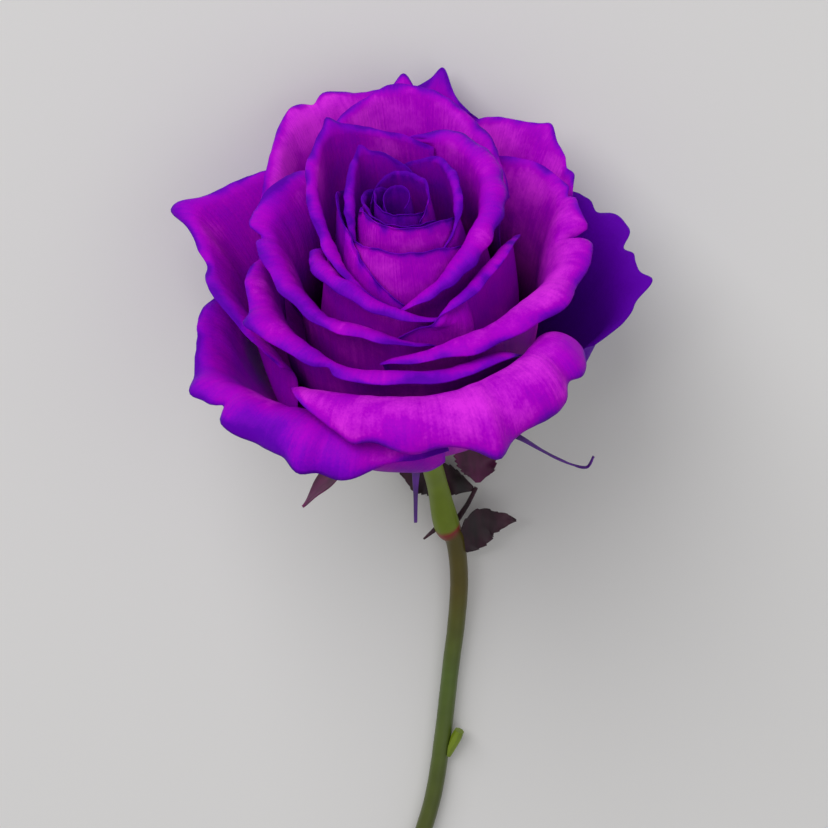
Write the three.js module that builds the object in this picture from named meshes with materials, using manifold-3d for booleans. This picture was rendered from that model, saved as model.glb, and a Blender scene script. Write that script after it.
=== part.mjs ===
// Purple dyed rose on a cut stem, laid on its side on a flat surface.
// Millimetres, +Z up, bloom toward +Y, cut end of the stem toward -Y.
import * as THREE from "three";
import { mergeVertices } from "three/addons/utils/BufferGeometryUtils.js";
import Module from "manifold-3d";

const wasm = await Module();
wasm.setup();

// ---- driving dimensions -------------------------------------------------------------------
const PETAL_THICKNESS = 0.5;      // thicker than a real petal, so that the sheets survive as solids
const SLIVER = 0.06;              // narrower triangles than this are closed up after a cut
const PETAL_GAP = 0.35;           // clear distance kept between neighbouring petals
const LEAF_THICKNESS = 0.5;
const STEM_GAP = 0.35;            // clear distance kept between the stem and what grows on it
const AXIS_ELEVATION = 25;        // degrees between the bloom's axis and the surface it lies on
const BASE_RADIUS = 1.6;          // innermost petal's foot on the receptacle
const BASE_STEP = 0.2;            // each later petal's foot is this much further out
const BASE_HEIGHT = 2;
const BASE_DROP = 0.14;           // and this much lower
const PEDUNCLE_RADIUS = 2.5;
const NODE_RADIUS = 3.1;
const STEM_RADIUS = 2.05;
const STEM_CUT_SLANT = 0.8;       // rise of the slanting cut across one radius
const INNER_PETALS = 17;          // petals that show their clear inner face; the rest are darker

// Turned parts, as [radius, height] about the bloom's axis.
const RECEPTACLE_PROFILE = [[0, -13.6], [2.5, -13.6], [3.4, -12.4], [5.4, -9.6], [6.9, -6.2], [7.3, -3.8],
  [7.3, -3], [6.9, -2.35], [1.8, 1.2], [0, 1.3]];
const RECEPTACLE_CLEARANCE = [[0, -13.9], [7.2, -6.5], [7.6, -3.8], [7.6, -2.8], [7.2, -2.1], [1.9, 1.55],
  [0, 1.65]];
const STYLES_PROFILE = [[0, 1.7], [1.1, 1.7], [0.9, 8], [1.3, 12.5], [0.9, 14], [0, 14.3]];
const STYLES_CLEARANCE = [[0, 1], [1.45, 1], [1.25, 8], [1.65, 12.6], [1.1, 14.5], [0, 14.7]];

// Bloom frame: z up the bloom's axis from the receptacle, azimuth 0 to the right,
// 90 toward the surface the rose lies on, 270 toward the sky.
// Each point of a rim is [azimuth, radius, height, length of the rolled lip, turn of the lip];
// lean is the sheet's rise at the rim, belly its radius halfway up, claw the narrowing of its foot.
const PETALS = [
  { name: "petal_core_1", lean: 96, belly: 3.6, claw: 1, rim: [
    [-60, 2, 55.5, 0.6, 20], [20, 2.6, 57.5, 0.8, 30], [100, 3, 58, 0.8, 30], [180, 3.2, 56.5, 0.8, 20],
    [240, 3.2, 53, 0.4, 10],
  ] },
  { name: "petal_core_2", lean: 98, belly: 4.8, claw: 1, rim: [
    [80, 4, 54, 0.6, 20], [150, 5, 58, 1, 50], [215, 4.6, 56.5, 1, 50], [285, 4.6, 56, 1, 50],
    [350, 5.5, 53.5, 0.6, 20],
  ] },
  { name: "petal_core_3", lean: 100, belly: 6.2, claw: 0.9, rim: [
    [-50, 6, 53.5, 0.8, 30], [10, 6.6, 57.5, 1.2, 70], [60, 6.4, 58.5, 1.2, 70], [110, 6.6, 58, 1, 50],
    [160, 6.4, 54.5, 0.6, 20],
  ] },
  { name: "petal_core_4", lean: 102, belly: 7.6, claw: 0.85, rim: [
    [120, 8, 54.5, 0.8, 30], [170, 7.4, 57, 1.5, 80], [220, 7, 56, 1.5, 80], [270, 7.6, 55.5, 1.2, 60],
    [320, 8.4, 54, 0.8, 30], [350, 8.6, 50.5, 0.6, 20],
  ] },
  { name: "petal_bud_front", lean: 106, belly: 10.5, claw: 0.7, rim: [
    [160, 7.8, 53, 1, 20], [195, 8, 56.5, 1.2, 40], [240, 8.8, 56.5, 1.2, 40], [285, 9.8, 56, 1.2, 40],
    [320, 11.2, 55, 1.2, 30], [345, 12, 52, 1, 20],
  ] },
  { name: "petal_bud_left", lean: 92, belly: 10.8, claw: 0.7, rim: [
    [50, 7.5, 56, 1, 20], [80, 9.5, 58.5, 1, 30], [115, 14.5, 59.5, 1.5, 40], [130, 12.5, 59, 2.5, 90],
    [150, 10.5, 57, 3, 130], [180, 10, 54, 3, 140], [205, 11, 50, 1.5, 60],
  ] },
  { name: "petal_bud_right", lean: 94, belly: 12, claw: 0.7, rim: [
    [-55, 12.5, 48.5, 1.5, 60], [-25, 12, 52.5, 2.5, 130], [0, 12, 55.5, 3, 150],
    [25, 12.5, 57.5, 2.5, 130], [45, 13, 58.5, 1.5, 60], [70, 11, 57.5, 1, 40], [95, 10.5, 55.5, 1, 20],
  ] },
  { name: "petal_heart_front", lean: 106, belly: 15.5, claw: 0.6, rim: [
    [200, 12, 50.5, 1, 20], [235, 12.5, 52.5, 1.2, 30], [265, 13, 52, 1.5, 30], [295, 13.5, 51, 1.5, 30],
    [320, 15, 49.5, 1, 30], [345, 16, 44.5, 1, 20],
  ] },
  { name: "petal_heart_left", lean: 98, belly: 16, claw: 0.6, rim: [
    [140, 14.5, 53, 1, 20], [165, 13.5, 56, 1.5, 50], [190, 12.5, 53.5, 1.5, 50],
    [215, 12.5, 51, 1.5, 40], [240, 15, 47, 1, 30], [265, 18, 42, 1, 30],
  ] },
  { name: "petal_cup_left", lean: 84, belly: 18.5, claw: 0.5, rim: [
    [60, 18, 55.5, 1.5, 20], [95, 20, 58, 2, 50], [120, 24, 59.5, 3, 70], [140, 21, 58.5, 3.5, 100],
    [165, 17.5, 56, 4, 120], [190, 16, 51, 4, 120], [225, 16, 45.5, 3.5, 100], [260, 18.5, 41, 1.5, 30],
  ] },
  { name: "petal_cup_right", lean: 80, belly: 20, claw: 0.5, rim: [
    [-100, 19, 41.5, 2.5, 80], [-65, 16, 46, 6.5, 150], [-35, 16, 50.5, 8, 160], [-5, 17.5, 54, 8, 160],
    [15, 18.5, 55.5, 8, 160], [45, 19.5, 57, 5, 110], [65, 19, 57, 3, 70], [90, 18.5, 55, 1.5, 30],
  ] },
  { name: "petal_fold_front", lean: 90, belly: 21.5, claw: 0.5, rim: [
    [180, 17, 44, 2, 80], [190, 18, 46, 4.5, 120], [205, 18, 46.5, 7, 150], [230, 18, 45.5, 7, 150],
    [260, 20, 42.5, 6, 140], [280, 22, 40.5, 4, 100], [300, 23.5, 37, 1.5, 40],
  ] },
  { name: "petal_fold_right", lean: 92, belly: 22.5, claw: 0.5, rim: [
    [260, 23.5, 37, 1.5, 30], [290, 21.5, 42, 5, 120], [315, 20.5, 44, 6, 130],
    [335, 21.5, 45, 5.5, 110], [350, 23, 43, 4.5, 90], [360, 23.5, 39.5, 3, 50],
  ] },
  { name: "petal_wing_left", lean: 62, belly: 24, claw: 0.5, rim: [
    [120, 25, 46.5, 1.5, 20], [135, 26, 49, 4, 50], [150, 26.5, 49, 5.5, 60], [168, 27.5, 47.5, 7.5, 85],
    [185, 26.5, 46, 6, 85], [205, 25.5, 44, 5.5, 95], [230, 25, 42, 5.5, 100], [250, 24.5, 40.5, 5, 95],
    [270, 25, 38, 3, 60], [280, 25, 35.5, 1.5, 30],
  ] },
  { name: "petal_top_inner", lean: 60, belly: 24.5, claw: 0.5, rim: [
    [20, 25, 45, 1.5, 30], [40, 26.5, 50, 4, 80], [60, 30, 54.5, 4, 80], [75, 34, 57, 3, 60],
    [90, 34.5, 56.5, 3, 50], [110, 29.5, 55, 3, 50], [130, 27, 49, 1.5, 20],
  ] },
  { name: "petal_wing_right", lean: 58, belly: 27, claw: 0.5, rim: [
    [-105, 30, 37, 2, 50], [-90, 29, 38.5, 5, 90], [-75, 28.5, 39.5, 7.5, 100],
    [-50, 29.5, 40, 9.5, 110], [-30, 31.5, 40, 10.5, 110], [-10, 33, 40.5, 9.5, 100], [5, 34, 42, 7, 80],
    [20, 36, 43, 4, 60], [30, 35.5, 44, 3, 40], [45, 30, 45.5, 2, 20], [55, 28, 44, 1.5, 20],
  ] },
  { name: "petal_front_left", lean: 64, belly: 28.5, claw: 0.5, rim: [
    [170, 30, 40.5, 2, 40], [185, 31, 40.5, 5, 75], [205, 31.5, 39.5, 8, 95], [225, 32, 38.5, 8, 100],
    [240, 33, 37.5, 5.5, 100], [255, 33, 37, 6.5, 100], [285, 33, 36, 6.5, 95], [300, 33.5, 35, 5.5, 80],
    [310, 34, 31, 2, 40],
  ] },
  { name: "petal_top_left", lean: 56, belly: 30.5, claw: 0.5, rim: [
    [70, 36, 45, 2, 20], [80, 39, 50, 4, 40], [95, 40, 51, 4, 60], [115, 40, 51.5, 6, 60],
    [125, 38.5, 51, 5, 70], [140, 33.5, 48.5, 4, 70], [155, 32, 44, 2, 30],
  ] },
  { name: "petal_top_right", lean: 52, belly: 31.5, claw: 0.5, rim: [
    [10, 35, 33, 2, 20], [20, 39, 38, 3, 30], [30, 43, 40.5, 3, 30], [42, 45, 42, 3, 40],
    [52, 43.5, 43.5, 3, 30], [65, 40.5, 43, 2, 20], [80, 38, 39, 2, 20],
  ] },
  { name: "petal_top_point", lean: 52, belly: 33, claw: 0.5, rim: [
    [45, 38, 35, 2, 20], [60, 41, 43, 2, 20], [68, 43.5, 46, 2, 20], [74, 47, 49, 2.5, 20],
    [82, 45, 47.5, 2.5, 25], [95, 43.5, 44, 2, 25], [115, 39.5, 35, 2, 20],
  ] },
  { name: "petal_outer_left", lean: 50, belly: 34, claw: 0.5, rim: [
    [120, 34, 41.5, 2, 20], [135, 37, 45, 3, 40], [147, 43, 43.5, 3.5, 50], [156, 48, 42.5, 4, 110],
    [165, 44, 40.5, 4, 70], [175, 41.5, 38.5, 4, 70], [190, 38, 36.5, 4, 60], [205, 35.5, 33, 3, 40],
    [215, 34.5, 30, 2, 30],
  ] },
  { name: "petal_outer_front", lean: 52, belly: 34, claw: 0.5, rim: [
    [225, 38, 31.5, 2, 40], [235, 39, 34, 7, 80], [250, 38.5, 35, 14, 120], [270, 39, 35.5, 19, 130],
    [285, 39.5, 36, 21, 135], [300, 39, 36.5, 21, 135], [310, 38, 36.5, 18, 125],
    [318, 36.5, 34.5, 13, 110], [326, 35.5, 29, 4, 60],
  ] },
  { name: "petal_outer_lower_left", lean: 42, belly: 36, claw: 0.5, rim: [
    [160, 37, 26, 2, 20], [175, 41.5, 30, 3, 25], [190, 45, 31, 4, 40], [205, 46.5, 30, 7, 80],
    [220, 44, 29.5, 12, 105], [235, 41, 29.5, 16, 110], [250, 39, 29, 18, 110],
    [265, 40.5, 27.5, 11, 100], [275, 42, 24.5, 5, 60],
  ] },
  { name: "petal_outer_right", lean: 34, belly: 37, claw: 0.5, rim: [
    [-16, 39, 16.5, 2, 20], [-8, 45, 19, 3, 25], [0, 47.5, 21.5, 4, 30], [8, 48, 24, 4, 30],
    [18, 49, 26, 4, 30], [28, 48, 27, 3, 30], [38, 46, 27, 2.5, 30], [45, 41, 24, 2, 20],
  ] },
  { name: "petal_back_right", lean: 44, belly: 33.5, claw: 0.5, rim: [
    [30, 37, 21, 2, 20], [40, 42, 28, 3, 30], [51, 46.4, 32, 3, 40], [62, 48.4, 33.4, 3, 40],
    [74, 44, 31, 3, 30], [96, 36, 25, 2, 20],
  ] },
  { name: "petal_back_left", lean: 44, belly: 34.5, claw: 0.5, rim: [
    [85, 36, 25, 2, 20], [106, 43.5, 31, 3, 30], [118, 47.8, 33.4, 3, 40], [129, 46.4, 32, 3, 40],
    [140, 42.5, 28, 3, 30], [150, 37, 21, 2, 20],
  ] },
];

// Sepals and leaflets are blades: a centre line, the half width along it, and which way the face looks.
const SEPALS = [
  { name: "sepal_front", widths: [2.6, 3.2, 1.3, 0.6, 0.35], facing: [0, -1, 0.2],
    line: [[-2.4, -7.5, -4.2], [-3.2, -10, -8], [-3.2, -9.4, -15], [-4, -7.6, -25], [-5, -6, -38]] },
  { name: "sepal_right", widths: [2.6, 2.6, 0.9, 0.5, 0.4, 0.35], facing: [0.2, 0.3, 1],
    line: [[5.6, -5.2, -4.2], [12, -10, -3.6], [21, -15, -5.5], [29, -17.5, -11], [35, -18, -14],
      [37, -17.5, -11.5]] },
  { name: "sepal_left", widths: [2.6, 4.2, 5, 4.2, 0.4], facing: [-0.3, 0.3, 1],
    line: [[-5.8, -4.9, -4.2], [-12, -9.4, -4.4], [-18, -12.8, -7], [-24, -15.8, -11], [-30, -18.5, -15]] },
  { name: "sepal_back_right", widths: [2.6, 3.8, 3.2, 1.6, 0.4], facing: [0.2, -0.5, 1],
    line: [[4.4, 6.3, -4.2], [8.5, 10.4, -5.6], [13.5, 13, -8.6], [18, 14, -12.5], [21, 14, -17]] },
  { name: "sepal_back_left", widths: [2.6, 3.8, 3.2, 1.6, 0.4], facing: [-0.2, -0.5, 1],
    line: [[-4.4, 6.3, -4.2], [-9.5, 10.2, -5.4], [-15, 12, -8.6], [-19.5, 12.6, -13], [-22, 12, -18]] },
];

// Stem beyond the bloom's axis: height above the surface is z, x and y are from the receptacle.
const STEM_LINE = [[1.2, -31, 10.8], [2.2, -42, 7.4], [3.8, -47, 6.2], [3.6, -58, 4.4], [1.6, -70, 3.2],
  [-0.9, -81, 2.6], [-4.6, -98, 2.3], [-9, -115, 2.15], [-14.5, -129, 2.1], [-20, -143, 2.07],
  [-25, -156, 2.07]];
const STEM_TOP = [-13.9, -21];    // where the stem starts on the bloom's axis, and where it leaves it
const STEM_RADII = [2.45, PEDUNCLE_RADIUS, PEDUNCLE_RADIUS, NODE_RADIUS, 2.3, 2.15, 2.1, STEM_RADIUS,
  STEM_RADIUS, STEM_RADIUS, STEM_RADIUS, STEM_RADIUS, STEM_RADIUS];
const BUD_LINE = [[-4.4, -104, 3], [-2.9, -101.5, 3.3], [-1.7, -99.5, 3.6], [-0.7, -97.6, 3.9]];
const BUD_RADII = [1.1, 1.3, 1.4, 1.2];

// The small leaf at the node, in a frame of its own at the node.
const LEAF_AT = [2.2, -42, 5];
const PETIOLE_LINE = [[2.6, 0, 0.6], [5.6, 3.4, -0.2], [8, 7.2, -0.4]];
const PETIOLE_RADII = [0.75, 0.6, 0.55];
const SPUR_LINE = [[-1.8, -0.6, 1.8], [-3.6, -1.9, 1.5], [-5.8, -3.6, 1.2]];
const SPUR_RADII = [0.8, 0.5, 0.25];
const LEAFLETS = [
  { name: "leaflet_left", widths: [0.6, 3, 4.2, 4, 0.6], facing: [0, 0, 1],
    line: [[7.2, 6.8, -0.8], [3, 8.8, -1.4], [-1.5, 10.6, -2], [-5.5, 11.8, -2.4], [-9.4, 12.8, -2.8]] },
  { name: "leaflet_middle", widths: [0.6, 3.4, 5, 4.6, 0.6], facing: [0.15, 0, 1],
    line: [[8.6, 8.6, 0], [9, 12, 0.4], [9, 16, 0.8], [9, 20.5, 1.4], [8.8, 25.5, 2]] },
  { name: "leaflet_right", widths: [1.2, 3, 3.8, 2.4, 0.4], facing: [0, 0, 1],
    line: [[3.2, -7.5, 1.4], [5, -5.2, 1.8], [8.5, -1.2, 2.2], [12, -0.6, 2.4], [16.5, -1, 3.2]] },
];

// ---- colours ------------------------------------------------------------------------------
const PETAL_INNER = new THREE.MeshStandardMaterial({ color: 0xa400c4, roughness: 0.6, metalness: 0 });
const PETAL_OUTER = new THREE.MeshStandardMaterial({ color: 0x6a10b0, roughness: 0.6, metalness: 0 });
const GREEN = new THREE.MeshStandardMaterial({ color: 0x6f8c1c, roughness: 0.5, metalness: 0 });
const MAROON = new THREE.MeshStandardMaterial({ color: 0x3a0c28, roughness: 0.6, metalness: 0 });

// ---- shape helpers ------------------------------------------------------------------------
/** Row of numbers a share t of the way along the given rows, blended smoothly through them. */
function rowAt(rows, t) {
  const last = rows.length - 1;
  const i = Math.min(Math.floor(t * last), last - 1);
  const f = t * last - i;
  const row = (n, k) => {
    if (n < 0) return 2 * rows[0][k] - rows[1][k];
    return n > last ? 2 * rows[last][k] - rows[last - 1][k] : rows[n][k];
  };
  return rows[0].map((_, k) => {
    const [a, b, c, d] = [row(i - 1, k), row(i, k), row(i + 1, k), row(i + 2, k)];
    return 0.5 * (2 * b + (c - a) * f + (2 * a - 5 * b + 4 * c - d) * f ** 2
      + (3 * b - a - 3 * c + d) * f ** 3);
  });
}

/** Closed geometry with its shared corners merged and its collapsed triangles left out. */
function merged(geometry) {
  geometry.deleteAttribute("normal");
  geometry.deleteAttribute("uv");
  const whole = mergeVertices(geometry);
  const corners = whole.index.array;
  const kept = [];
  for (let i = 0; i < corners.length; i += 3) {
    const [a, b, c] = corners.slice(i, i + 3);
    if (a !== b && b !== c && c !== a) kept.push(a, b, c);
  }
  return whole.setIndex(kept);
}

/** Solid of a merged geometry, each of whose corners may first be moved. */
function solid(geometry, move = (corner) => corner) {
  const { position } = geometry.attributes;
  const vertProperties = new Float32Array(3 * position.count);
  for (let i = 0; i < position.count; i++) {
    vertProperties.set(move(new THREE.Vector3().fromBufferAttribute(position, i)).toArray(), 3 * i);
  }
  const triVerts = new Uint32Array(geometry.index.array);
  return new wasm.Manifold(new wasm.Mesh({ numProp: 3, vertProperties, triVerts }));
}

/** Turned solid about the bloom's axis. */
function turned(profile, sides) {
  const points = profile.map(([radius, height]) => new THREE.Vector2(radius, height));
  return solid(merged(new THREE.LatheGeometry(points, sides).rotateX(Math.PI / 2)));
}

/** Round bar along a line of points, with a radius at each of them and a slanting far end. */
function bar(line, radii, sides, steps, slant = 0) {
  const curve = new THREE.CatmullRomCurve3(line.map((point) => new THREE.Vector3(...point)));
  const cylinder = merged(new THREE.CylinderGeometry(1, 1, 1, sides, steps));
  return solid(cylinder, ({ x, y, z }) => {
    const t = THREE.MathUtils.clamp(y + 0.5, 0, 1);
    const [radius] = rowAt(radii.map((r) => [r]), t);
    const along = curve.getTangent(t);
    const side = new THREE.Vector3().crossVectors(along, new THREE.Vector3(0, 0, 1)).normalize();
    const up = new THREE.Vector3().crossVectors(side, along);
    const slide = t === 1 ? slant * radius * z : 0;
    return curve.getPoint(t).addScaledVector(side, radius * x).addScaledVector(up, radius * z)
      .addScaledVector(along, slide);
  });
}

/** Middle surface of a petal in the bloom frame, as columns of points from its foot to its lip. */
function petalGrid({ lean, belly, claw, rim }, order) {
  const [first, last] = [rim[0][0], rim[rim.length - 1][0]];
  const middle = (first + last) / 2;
  const columns = Math.max(7, Math.round((last - first) / 22) + 2);
  const footR = BASE_RADIUS + BASE_STEP * order;
  const footZ = BASE_HEIGHT - BASE_DROP * order;
  const rise = THREE.MathUtils.degToRad(lean);
  const lipRows = Math.max(...rim.map(([, , , lip]) => lip)) > 4 ? 3 : 2;
  return Array.from({ length: columns }, (_, column) => {
    const [azimuth, rimR, rimZ, lip, turn] = rowAt(rim, column / (columns - 1));
    const at = ({ x, y }, v) => {
      const spread = claw + (1 - claw) * Math.min(v / 0.6, 1) ** 0.8;
      const a = THREE.MathUtils.degToRad(middle + (azimuth - middle) * spread);
      return new THREE.Vector3(x * Math.cos(a), x * Math.sin(a), y);
    };
    const reach = 0.42 * (rimZ - footZ);
    const rimPoint = new THREE.Vector2(rimR, rimZ);
    const upper = new THREE.Vector2(rimR - reach * Math.cos(rise), rimZ - reach * Math.sin(rise));
    const lower = new THREE.Vector2(Math.max((8 * belly - footR - 3 * upper.x - rimR) / 3, footR + 1),
      0.9 * footZ + 0.1 * rimZ);
    const meridian = new THREE.CubicBezierCurve(new THREE.Vector2(footR, footZ), lower, upper, rimPoint);
    const points = [0, 0.14, 0.32, 0.54, 0.78, 1].map((v) => at(meridian.getPoint(v), v));
    const lipStep = Math.max(lip, 0.4) / lipRows;
    for (let n = 0; n < lipRows; n++) {
      const angle = rise - THREE.MathUtils.degToRad(turn) * ((n + 0.5) / lipRows) ** 1.2;
      rimPoint.add(new THREE.Vector2(Math.cos(angle), Math.sin(angle)).multiplyScalar(lipStep));
      points.push(at(rimPoint, 1));
    }
    return points;
  });
}

/** Middle surface of a blade: columns across its width, following its centre line. */
function bladeGrid({ line, widths, facing }, fold) {
  const curve = new THREE.CatmullRomCurve3(line.map((point) => new THREE.Vector3(...point)));
  const rows = 2 * line.length;
  return [-1, -0.5, 0, 0.5, 1].map((across) => Array.from({ length: rows }, (_, row) => {
    const t = row / (rows - 1);
    const half = Math.max(rowAt(widths.map((w) => [w]), t)[0], 0.3);
    const along = curve.getTangent(t);
    const side = new THREE.Vector3().crossVectors(along, new THREE.Vector3(...facing)).normalize();
    const up = new THREE.Vector3().crossVectors(side, along);
    return curve.getPoint(t).addScaledVector(side, half * across)
      .addScaledVector(up, fold * half * across ** 2);
  }));
}

/** Grid whose outermost points are moved outward, so that the sheet is larger all round. */
function widened(grid, grow) {
  const points = grid.map((column) => column.map((point) => point.clone()));
  const push = (i, j, fromI, fromJ) => {
    points[i][j].add(grid[i][j].clone().sub(grid[fromI][fromJ]).setLength(grow));
  };
  const [lastI, lastJ] = [grid.length - 1, grid[0].length - 1];
  for (let i = 0; i <= lastI; i++) {
    push(i, 0, i, 1);
    push(i, lastJ, i, lastJ - 1);
  }
  for (let j = 0; j <= lastJ; j++) {
    push(0, j, 1, j);
    push(lastI, j, lastI - 1, j);
  }
  return points;
}

/** Closed sheet of even thickness around a grid of points, shaped from a box with as many divisions. */
function sheet(grid, thickness) {
  const [lastI, lastJ] = [grid.length - 1, grid[0].length - 1];
  const box = merged(new THREE.BoxGeometry(1, 1, 1, lastI, lastJ, 1));
  return solid(box, ({ x, y, z }) => {
    const [i, j] = [Math.round((x + 0.5) * lastI), Math.round((y + 0.5) * lastJ)];
    const u = grid[Math.min(i + 1, lastI)][j].clone().sub(grid[Math.max(i - 1, 0)][j]);
    const v = grid[i][Math.min(j + 1, lastJ)].clone().sub(grid[i][Math.max(j - 1, 0)]);
    return grid[i][j].clone().addScaledVector(u.cross(v).normalize(), z * thickness);
  });
}

/** A body less its cutters, kept as its largest piece where a cut leaves crumbs. */
function trimmed(body, cutters) {
  const largest = (whole) => whole.decompose().sort((a, b) => b.volume() - a.volume())[0];
  return largest(largest(wasm.Manifold.difference([body, ...cutters])).simplify(SLIVER));
}

/** Adds a solid to a group as a named mesh. */
function add(group, name, body, material) {
  const { vertProperties, triVerts } = body.getMesh();
  const geometry = new THREE.BufferGeometry();
  geometry.setAttribute("position", new THREE.BufferAttribute(vertProperties, 3));
  geometry.setIndex([...triVerts]);
  geometry.computeVertexNormals();
  const mesh = new THREE.Mesh(geometry, material);
  mesh.name = name;
  group.add(mesh);
}

// ---- bloom --------------------------------------------------------------------------------
/** Receptacle, petals and sepals, leaning over so that the lowest petals rest on the surface. */
function makeBloom() {
  const bloom = new THREE.Group();
  add(bloom, "receptacle", turned(RECEPTACLE_PROFILE, 20), GREEN);
  add(bloom, "styles", turned(STYLES_PROFILE, 10), GREEN);
  const cutters = [turned(RECEPTACLE_CLEARANCE, 20), turned(STYLES_CLEARANCE, 10)];
  PETALS.forEach((petal, order) => {
    const grid = petalGrid(petal, order);
    const body = trimmed(sheet(grid, PETAL_THICKNESS), cutters);
    add(bloom, petal.name, body, order < INNER_PETALS ? PETAL_INNER : PETAL_OUTER);
    cutters.push(sheet(widened(grid, PETAL_GAP), PETAL_THICKNESS + 2 * PETAL_GAP));
  });
  const near = [cutters[0], ...cutters.slice(INNER_PETALS)];
  for (const sepal of SEPALS) {
    add(bloom, sepal.name, trimmed(sheet(bladeGrid(sepal, 0.18), LEAF_THICKNESS), near), MAROON);
  }
  bloom.rotation.x = THREE.MathUtils.degToRad(AXIS_ELEVATION - 90);
  bloom.position.z = -new THREE.Box3().setFromObject(bloom, true).min.z;
  return bloom;
}

// ---- stem and the small leaf --------------------------------------------------------------
/** Stem from under the receptacle to its cut end, with a dormant bud and the small leaf. */
function makeStem(bloom) {
  const stalk = new THREE.Group();
  bloom.updateMatrix();
  const top = STEM_TOP.map((height) => new THREE.Vector3(0, 0, height).applyMatrix4(bloom.matrix).toArray());
  const line = [...top, ...STEM_LINE];
  add(stalk, "stem", bar(line, STEM_RADII, 12, 30, STEM_CUT_SLANT), GREEN);
  const clearance = bar(line, STEM_RADII.map((radius) => radius + STEM_GAP), 12, 30);
  add(stalk, "stem_bud", trimmed(bar(BUD_LINE, BUD_RADII, 8, 5), [clearance]), GREEN);

  const leaf = new THREE.Group();
  leaf.position.set(...LEAF_AT);
  const cutters = [clearance.translate(LEAF_AT.map((at) => -at))];
  add(leaf, "leaf_petiole", trimmed(bar(PETIOLE_LINE, PETIOLE_RADII, 6, 4), cutters), MAROON);
  add(leaf, "stipule_spur", trimmed(bar(SPUR_LINE, SPUR_RADII, 6, 4), cutters), MAROON);
  for (const leaflet of LEAFLETS) {
    add(leaf, leaflet.name, trimmed(sheet(bladeGrid(leaflet, 0.22), LEAF_THICKNESS), cutters), MAROON);
  }
  stalk.add(leaf);
  return stalk;
}

// ---- the whole rose, standing on the middle of its box ------------------------------------
const rose = new THREE.Group();
rose.name = "rose";
const bloom = makeBloom();
rose.add(bloom, makeStem(bloom));
const box = new THREE.Box3().setFromObject(rose, true);
const middle = box.getCenter(new THREE.Vector3());
rose.position.set(-middle.x, -middle.y, -box.min.z);
export default rose;
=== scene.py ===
"""A purple dyed rose on a cut stem, lying on its side on a pale surface.

The bloom's frame has z up the bloom's axis from the receptacle, azimuth 0 to the right,
90 toward the surface the rose lies on and 270 toward the sky. Its lengths are millimetres.
The row frame is the whole rose's: z up from the surface, the bloom toward +y, metres.
"""

import logging
import math
from dataclasses import dataclass, field
from enum import Enum

import bpy
import numpy as np
from mathutils import Matrix, Vector


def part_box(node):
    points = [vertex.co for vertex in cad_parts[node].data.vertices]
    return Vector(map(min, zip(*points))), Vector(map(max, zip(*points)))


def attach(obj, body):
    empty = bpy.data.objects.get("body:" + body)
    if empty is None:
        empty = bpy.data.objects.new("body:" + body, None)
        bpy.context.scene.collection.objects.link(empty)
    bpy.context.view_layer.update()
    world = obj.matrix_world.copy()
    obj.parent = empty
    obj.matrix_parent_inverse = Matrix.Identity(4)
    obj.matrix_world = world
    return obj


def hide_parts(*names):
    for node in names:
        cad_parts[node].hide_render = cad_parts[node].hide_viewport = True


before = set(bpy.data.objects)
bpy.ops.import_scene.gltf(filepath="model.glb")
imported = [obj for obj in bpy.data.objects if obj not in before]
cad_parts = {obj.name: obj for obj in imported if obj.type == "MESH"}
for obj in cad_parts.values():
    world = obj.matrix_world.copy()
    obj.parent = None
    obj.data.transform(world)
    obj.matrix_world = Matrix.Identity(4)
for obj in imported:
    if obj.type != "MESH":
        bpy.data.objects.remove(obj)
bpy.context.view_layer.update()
LOG = logging.getLogger("rose")
MM = 0.001
AXIS_ELEVATION = math.radians(25)  # between the bloom's axis and the surface
CLEAR_PETALS = 17  # the first petals, counted as inner; the rest are outer
INNER_PAINTED_SHADE = (0.4, 0.8)  # painted shade: shares of a petal's height between which its depth mask, a darker colour deep in the bloom standing in for shade, fades out
OUTER_PAINTED_SHADE = (0.05, 0.6)
PULL = 0.42  # share of a petal's rise used for its profile's handles
BASE_RADIUS = 1.6  # innermost petal's foot on the receptacle, millimetres
BASE_STEP = 0.2  # each later petal's foot is this much further out
BASE_HEIGHT = 2.0
BASE_DROP = 0.14  # and this much lower
BLADE_THICKNESS = 0.42  # sepals and leaflets, millimetres
SHAPE_SEED = 20
PLEAT_SEED = 99
DYE_SEED = 70

Station = tuple[float, float, float, float, float]


class Tint(Enum):
    """How far the dye of a petal has run from magenta toward violet, 0 to 1."""

    BRIGHT = 0.0
    CLEAR = 0.12
    FULL = 0.25
    DEEP = 0.45
    VIOLET = 0.9


# ---- numbers that vary over a surface ----
def blend_rows(rows: np.ndarray, count: int) -> np.ndarray:
    """Smooth curve through rows of numbers.

    Args:
        rows: Shape (n, k), the values to pass through.
        count: How many rows to return.

    Returns:
        Shape (count, k).
    """
    last = len(rows) - 1
    padded = np.vstack([2 * rows[0] - rows[1], rows, 2 * rows[-1] - rows[-2]])
    t = np.linspace(0, last, count)
    i = np.minimum(t.astype(int), last - 1)
    f = (t - i)[:, None]
    a, b, c, d = (padded[i + k] for k in range(4))
    return 0.5 * (2 * b + (c - a) * f + (2 * a - 5 * b + 4 * c - d) * f**2 + (3 * b - a - 3 * c + d) * f**3)


def ripple(x: np.ndarray, rng: np.random.Generator, waves: int, lowest: float, highest: float) -> np.ndarray:
    """Sum of random sine waves, about -1 to 1.

    Args:
        x: Positions, in radians or any unit that the frequencies suit.
        rng: Seeded random source.
        waves: How many waves to add.
        lowest: Lowest frequency.
        highest: Highest frequency.

    Returns:
        Values of the same shape as x.
    """
    frequency = rng.uniform(lowest, highest, waves)
    phase = rng.uniform(0, 2 * math.pi, waves)
    weight = rng.uniform(0.5, 1, waves)
    total = sum(w * np.sin(f * x + p) for f, p, w in zip(frequency, phase, weight))
    return total / weight.sum() * 1.4


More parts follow.
